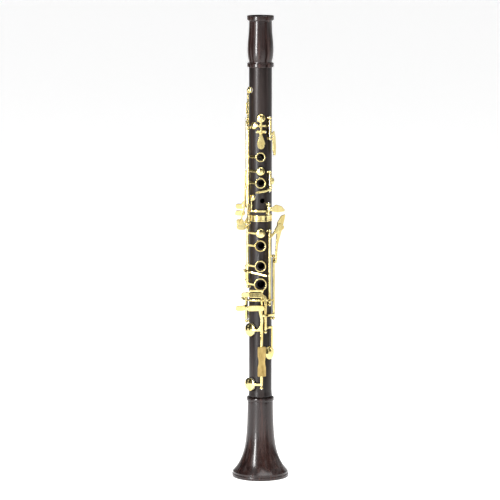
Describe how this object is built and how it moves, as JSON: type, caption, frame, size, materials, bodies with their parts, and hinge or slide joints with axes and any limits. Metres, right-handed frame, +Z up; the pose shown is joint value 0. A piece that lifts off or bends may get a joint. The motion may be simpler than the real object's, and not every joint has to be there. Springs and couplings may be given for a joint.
{
  "type": "clarinet",
  "caption": "Soprano clarinet without its mouthpiece, standing on its bell: wooden barrel, joints and flared bell with gold-plated ring keys, padded cups, side keys and little-finger levers.",
  "frame": {"origin": "centre of the bell rim on the bore axis", "axes": "+Z up the bore from the bell to the barrel; the tone holes and finger rings face -Y"},
  "size_m": [0.0724, 0.0724, 0.59],
  "materials": {
    "rosewood": "polished",
    "blackwood": "satin",
    "gold_plate": "polished",
    "steel": "polished",
    "blued_steel": "blued",
    "cork": "matt",
    "pad_skin": "smooth skin"
  },
  "bodies": {
    "root": {"bell": "rosewood", "lower_joint": "blackwood", "upper_joint": "blackwood", "socket_ferrule": "gold_plate", "bell_tenon_cork": "cork", "middle_tenon_cork": "cork", "barrel_tenon_cork": "cork", "posts_lower": "gold_plate", "posts_upper": "gold_plate", "hinge_rods_lower": "steel", "hinge_rods_upper": "steel", "thumb_rest": "gold_plate", "thumb_rest_screws": "steel", "needle_springs": "blued_steel"},
    "barrel": {"barrel": "rosewood"},
    "register": {"register_key": "gold_plate", "register_pad": "pad_skin"},
    "thumb_ring": {"thumb_ring_key": "gold_plate", "thumb_ring_pad": "pad_skin"},
    "throat_a": {"throat_a_key": "gold_plate", "throat_a_pad": "pad_skin"},
    "throat_g_sharp": {"throat_g_sharp_key": "gold_plate", "throat_g_sharp_pad": "pad_skin"},
    "upper_trill": {"upper_trill_key": "gold_plate", "upper_trill_pad": "pad_skin"},
    "lower_trill": {"lower_trill_key": "gold_plate", "lower_trill_pad": "pad_skin"},
    "side_e_flat": {"side_e_flat_key": "gold_plate", "side_e_flat_pad": "pad_skin"},
    "side_f_sharp": {"side_f_sharp_key": "gold_plate", "side_f_sharp_pad": "pad_skin"},
    "upper_rings": {"upper_ring_key": "gold_plate", "upper_ring_pad": "pad_skin"},
    "left_sliver": {"left_sliver_key": "gold_plate", "left_sliver_pad": "pad_skin"},
    "c_sharp": {"c_sharp_key": "gold_plate", "c_sharp_pad": "pad_skin"},
    "lower_rings": {"lower_ring_key": "gold_plate", "lower_ring_pad": "pad_skin"},
    "right_sliver": {"right_sliver_key": "gold_plate", "right_sliver_pad": "pad_skin"},
    "a_flat": {"a_flat_key": "gold_plate", "a_flat_pad": "pad_skin"},
    "f_c": {"f_c_key": "gold_plate", "f_c_pad": "pad_skin"},
    "e_b": {"e_b_key": "gold_plate", "e_b_pad": "pad_skin", "crest_plate": "gold_plate"},
    "f_sharp": {"f_sharp_key": "gold_plate", "f_sharp_pad": "pad_skin"},
    "left_e": {"left_e_lever": "gold_plate"},
    "left_f_sharp": {"left_f_sharp_lever": "gold_plate"}
  },
  "joints": [
    {"name": "barrel_slide", "type": "slide", "parent": "root", "child": "barrel", "axis": [0, 0, 1], "range_m": [0, 0.003]},
    {"name": "register_pivot", "type": "hinge", "parent": "root", "child": "register", "pos_m": [0, 0.0188, 0.46], "axis": [-1, 0, 0], "range_deg": [0, 7], "stiffness_Nm_per_rad": 0.03, "springref_deg": -4},
    {"name": "thumb_ring_pivot", "type": "hinge", "parent": "root", "child": "thumb_ring", "pos_m": [0.00938, 0.01501, 0.42], "axis": [0, 0, 1], "range_deg": [0, 5], "stiffness_Nm_per_rad": 0.03, "springref_deg": -4},
    {"name": "throat_a_pivot", "type": "hinge", "parent": "root", "child": "throat_a", "pos_m": [0.00066, -0.01879, 0.445], "axis": [0.9994, 0.0349, 0], "range_deg": [0, 7], "stiffness_Nm_per_rad": 0.03, "springref_deg": -4},
    {"name": "throat_g_sharp_pivot", "type": "hinge", "parent": "root", "child": "throat_g_sharp", "pos_m": [0.012, -0.01301, 0.449], "axis": [0, 0, 1], "range_deg": [0, 3.5], "stiffness_Nm_per_rad": 0.03, "springref_deg": -4},
    {"name": "upper_trill_pivot", "type": "hinge", "parent": "root", "child": "upper_trill", "pos_m": [-0.01717, 0.00428, 0.4], "axis": [0, 0, -1], "range_deg": [0, 8], "stiffness_Nm_per_rad": 0.03, "springref_deg": -4},
    {"name": "lower_trill_pivot", "type": "hinge", "parent": "root", "child": "lower_trill", "pos_m": [-0.01432, 0.0104, 0.4], "axis": [0, 0, -1], "range_deg": [0, 8], "stiffness_Nm_per_rad": 0.03, "springref_deg": -4},
    {"name": "side_e_flat_pivot", "type": "hinge", "parent": "root", "child": "side_e_flat", "pos_m": [-0.01866, -0.00229, 0.372], "axis": [0.1219, -0.9925, 0], "range_deg": [0, 5], "stiffness_Nm_per_rad": 0.03, "springref_deg": -4},
    {"name": "side_f_sharp_pivot", "type": "hinge", "parent": "root", "child": "side_f_sharp", "pos_m": [-0.0094, 0.01628, 0.38], "axis": [-0.866, -0.5, 0], "range_deg": [0, 4.5], "stiffness_Nm_per_rad": 0.03, "springref_deg": -4},
    {"name": "upper_rings_pivot", "type": "hinge", "parent": "root", "child": "upper_rings", "pos_m": [-0.01563, -0.00831, 0.384], "axis": [0, 0, 1], "range_deg": [0, 5], "stiffness_Nm_per_rad": 0.03, "springref_deg": -4},
    {"name": "left_sliver_pivot", "type": "hinge", "parent": "root", "child": "left_sliver", "pos_m": [0.012, -0.01301, 0.382], "axis": [0, 0, -1], "range_deg": [0, 7], "stiffness_Nm_per_rad": 0.03, "springref_deg": -4},
    {"name": "c_sharp_pivot", "type": "hinge", "parent": "root", "child": "c_sharp", "pos_m": [0.0104, -0.01432, 0.347], "axis": [0, 0, 1], "range_deg": [0, 6], "stiffness_Nm_per_rad": 0.03, "springref_deg": -4},
    {"name": "lower_rings_pivot", "type": "hinge", "parent": "root", "child": "lower_rings", "pos_m": [-0.01617, -0.0072, 0.287], "axis": [0, 0, 1], "range_deg": [0, 5], "stiffness_Nm_per_rad": 0.03, "springref_deg": -4},
    {"name": "right_sliver_pivot", "type": "hinge", "parent": "root", "child": "right_sliver", "pos_m": [-0.01769, -0.00062, 0.263], "axis": [0, 0, 1], "range_deg": [0, 6], "stiffness_Nm_per_rad": 0.03, "springref_deg": -4},
    {"name": "a_flat_pivot", "type": "hinge", "parent": "root", "child": "a_flat", "pos_m": [0.00634, -0.01652, 0.211], "axis": [0, 0, -1], "range_deg": [0, 8], "stiffness_Nm_per_rad": 0.03, "springref_deg": -4},
    {"name": "f_c_pivot", "type": "hinge", "parent": "root", "child": "f_c", "pos_m": [0.00136, -0.01765, 0.192], "axis": [0, 0, -1], "range_deg": [0, 8], "stiffness_Nm_per_rad": 0.03, "springref_deg": -4},
    {"name": "e_b_pivot", "type": "hinge", "parent": "root", "child": "e_b", "pos_m": [0.00136, -0.01765, 0.151], "axis": [0, 0, -1], "range_deg": [0, 8], "stiffness_Nm_per_rad": 0.03, "springref_deg": -4},
    {"name": "f_sharp_pivot", "type": "hinge", "parent": "root", "child": "f_sharp", "pos_m": [-0.01769, 0.00062, 0.219], "axis": [0, 0, -1], "range_deg": [0, 8], "stiffness_Nm_per_rad": 0.03, "springref_deg": -4},
    {"name": "left_e_pivot", "type": "hinge", "parent": "root", "child": "left_e", "pos_m": [0.01674, -0.00576, 0.246], "axis": [0, 0, 1], "range_deg": [0, 5.6], "stiffness_Nm_per_rad": 0.03, "springref_deg": -4},
    {"name": "left_f_sharp_pivot", "type": "hinge", "parent": "root", "child": "left_f_sharp", "pos_m": [0.01161, -0.01336, 0.271], "axis": [0, 0, 1], "range_deg": [0, 6.6], "stiffness_Nm_per_rad": 0.03, "springref_deg": -4}
  ],
  "couplings": [
    {"joint": "upper_rings_pivot", "follows": "lower_rings_pivot", "ratio": 1},
    {"joint": "left_e_pivot", "follows": "e_b_pivot", "ratio": 0.7},
    {"joint": "left_f_sharp_pivot", "follows": "f_sharp_pivot", "ratio": 0.825}
  ]
}
